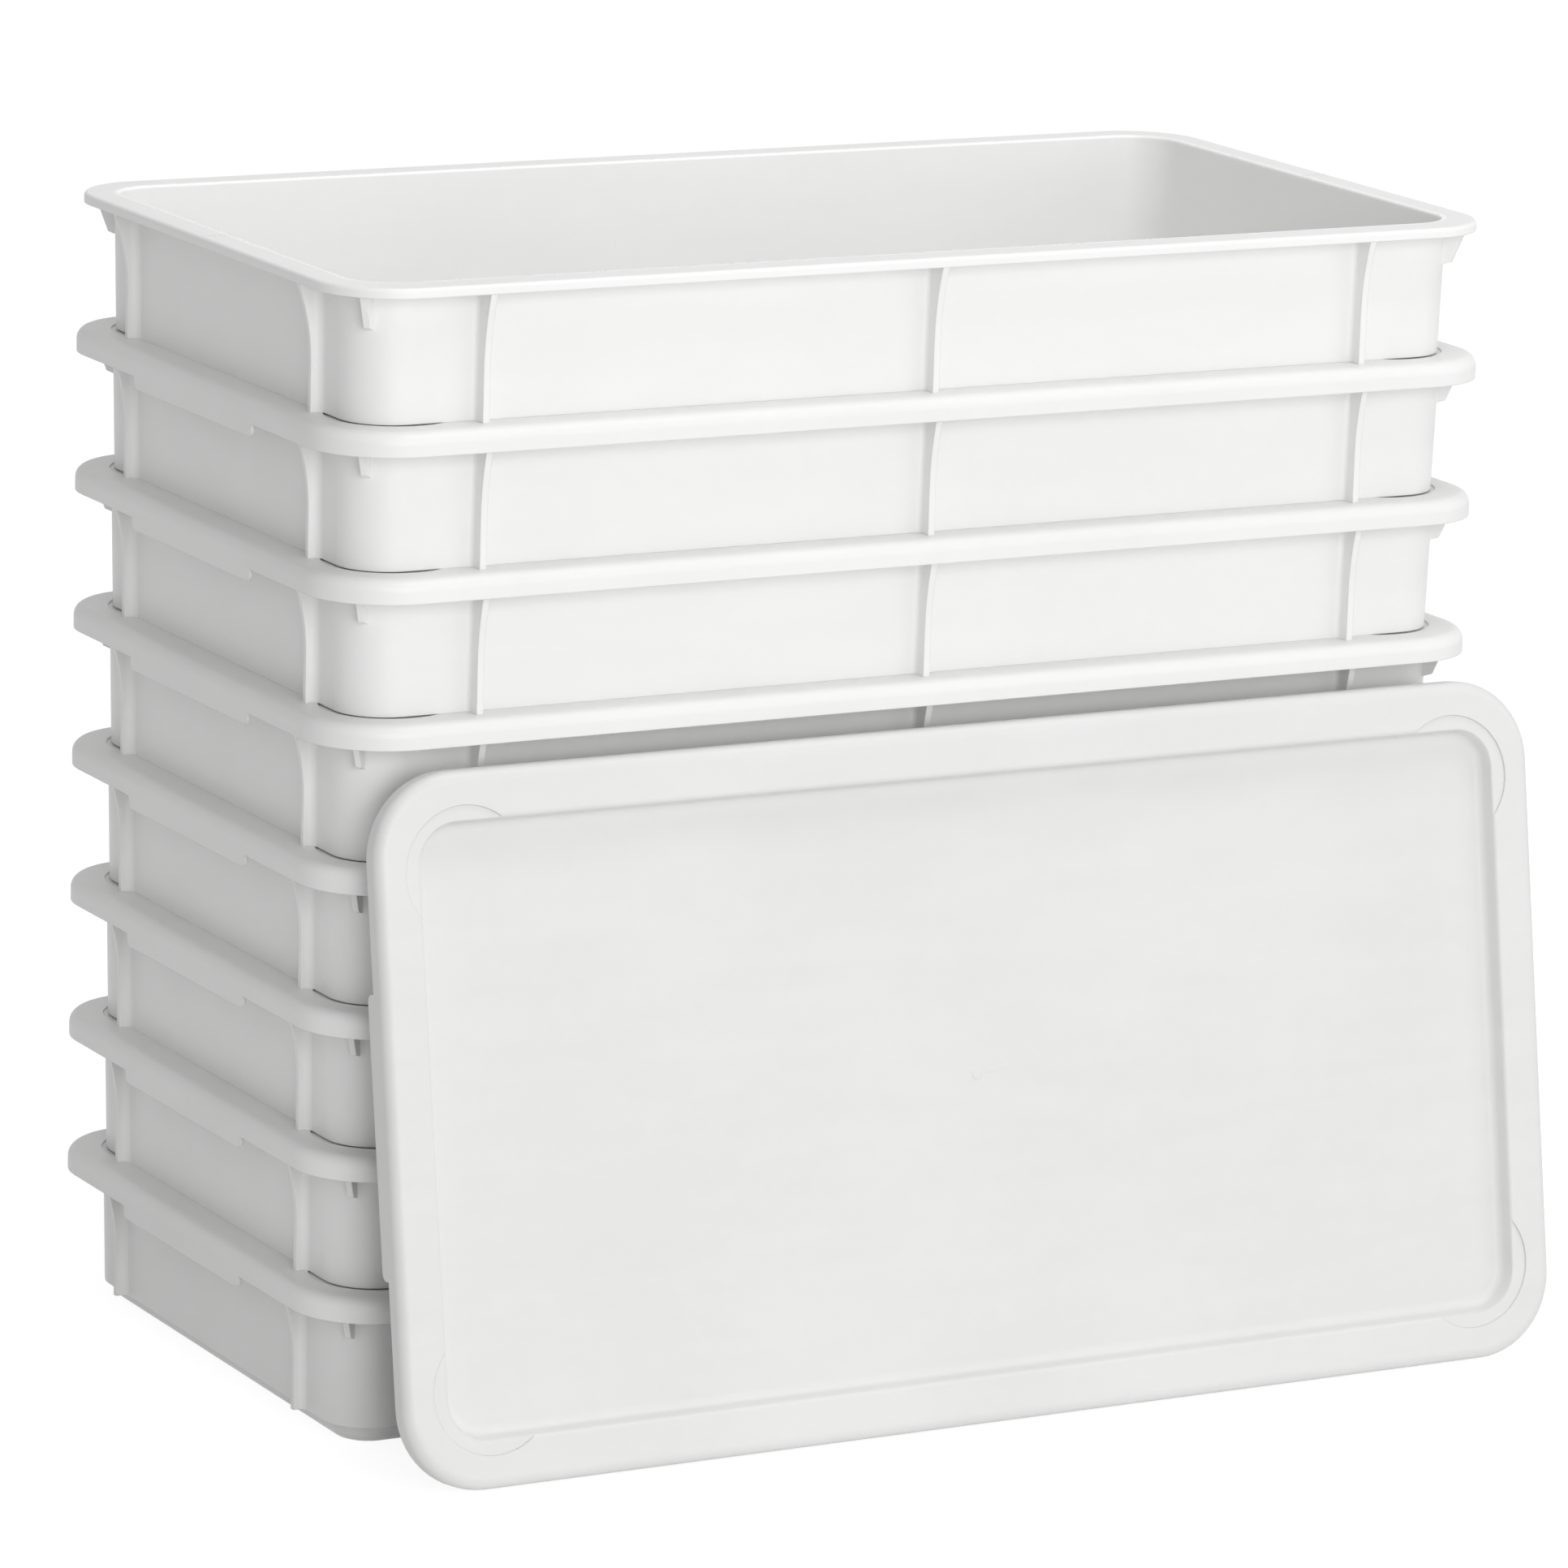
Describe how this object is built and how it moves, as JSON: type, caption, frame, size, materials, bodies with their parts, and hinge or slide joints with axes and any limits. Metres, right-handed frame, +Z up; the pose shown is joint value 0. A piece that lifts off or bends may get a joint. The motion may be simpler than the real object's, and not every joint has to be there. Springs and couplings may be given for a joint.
{
  "type": "dough proofing tub set",
  "caption": "Stack of shallow rectangular dough proofing tubs with flanged rims and nesting tray lids, the top tub open and a spare lid leaning on the front.",
  "frame": {"origin": "middle of the bottom tub's underside, on the floor", "axes": "+X along the tubs' length, +Y to the back, away from the leaning lid, +Z up the stack"},
  "size_m": [0.662, 0.4145, 0.5743],
  "materials": {
    "tub_plastic": "white moulded polypropylene, satin",
    "lid_plastic": "white moulded polypropylene, satin with a fine moulded texture"
  },
  "bodies": {
    "tub_1": {"tub_1": "tub_plastic"},
    "lid_1": {"lid_1": "lid_plastic"},
    "tub_2": {"tub_2": "tub_plastic"},
    "lid_2": {"lid_2": "lid_plastic"},
    "tub_3": {"tub_3": "tub_plastic"},
    "lid_3": {"lid_3": "lid_plastic"},
    "tub_4": {"tub_4": "tub_plastic"},
    "lid_4": {"lid_4": "lid_plastic"},
    "tub_5": {"tub_5": "tub_plastic"},
    "lid_5": {"lid_5": "lid_plastic"},
    "tub_6": {"tub_6": "tub_plastic"},
    "lid_6": {"lid_6": "lid_plastic"},
    "tub_7": {"tub_7": "tub_plastic"},
    "lid_7": {"lid_7": "lid_plastic"},
    "tub_8": {"tub_8": "tub_plastic"},
    "leaning_lid": {"leaning_lid": "lid_plastic"}
  },
  "joints": [
    {"name": "lid_1_lift", "type": "slide", "parent": "tub_1", "child": "lid_1", "axis": [0, 0, 1], "range_m": [0, 0.1]},
    {"name": "tub_2_lift", "type": "slide", "parent": "lid_1", "child": "tub_2", "axis": [0, 0, 1], "range_m": [0, 0.1]},
    {"name": "lid_2_lift", "type": "slide", "parent": "tub_2", "child": "lid_2", "axis": [0, 0, 1], "range_m": [0, 0.1]},
    {"name": "tub_3_lift", "type": "slide", "parent": "lid_2", "child": "tub_3", "axis": [0, 0, 1], "range_m": [0, 0.1]},
    {"name": "lid_3_lift", "type": "slide", "parent": "tub_3", "child": "lid_3", "axis": [0, 0, 1], "range_m": [0, 0.1]},
    {"name": "tub_4_lift", "type": "slide", "parent": "lid_3", "child": "tub_4", "axis": [0, 0, 1], "range_m": [0, 0.1]},
    {"name": "lid_4_lift", "type": "slide", "parent": "tub_4", "child": "lid_4", "axis": [0, 0, 1], "range_m": [0, 0.1]},
    {"name": "tub_5_lift", "type": "slide", "parent": "lid_4", "child": "tub_5", "axis": [0, 0, 1], "range_m": [0, 0.1]},
    {"name": "lid_5_lift", "type": "slide", "parent": "tub_5", "child": "lid_5", "axis": [0, 0, 1], "range_m": [0, 0.1]},
    {"name": "tub_6_lift", "type": "slide", "parent": "lid_5", "child": "tub_6", "axis": [0, 0, 1], "range_m": [0, 0.1]},
    {"name": "lid_6_lift", "type": "slide", "parent": "tub_6", "child": "lid_6", "axis": [0, 0, 1], "range_m": [0, 0.1]},
    {"name": "tub_7_lift", "type": "slide", "parent": "lid_6", "child": "tub_7", "axis": [0, 0, 1], "range_m": [0, 0.1]},
    {"name": "lid_7_lift", "type": "slide", "parent": "tub_7", "child": "lid_7", "axis": [0, 0, 1], "range_m": [0, 0.1]},
    {"name": "tub_8_lift", "type": "slide", "parent": "lid_7", "child": "tub_8", "axis": [0, 0, 1], "range_m": [0, 0.1]},
    {"name": "leaning_lid_tip", "type": "hinge", "parent": "tub_1", "child": "leaning_lid", "pos_m": [0.012, -0.23553, 0.00721], "axis": [1, 0, 0], "range_deg": [0, 99.5]}
  ]
}
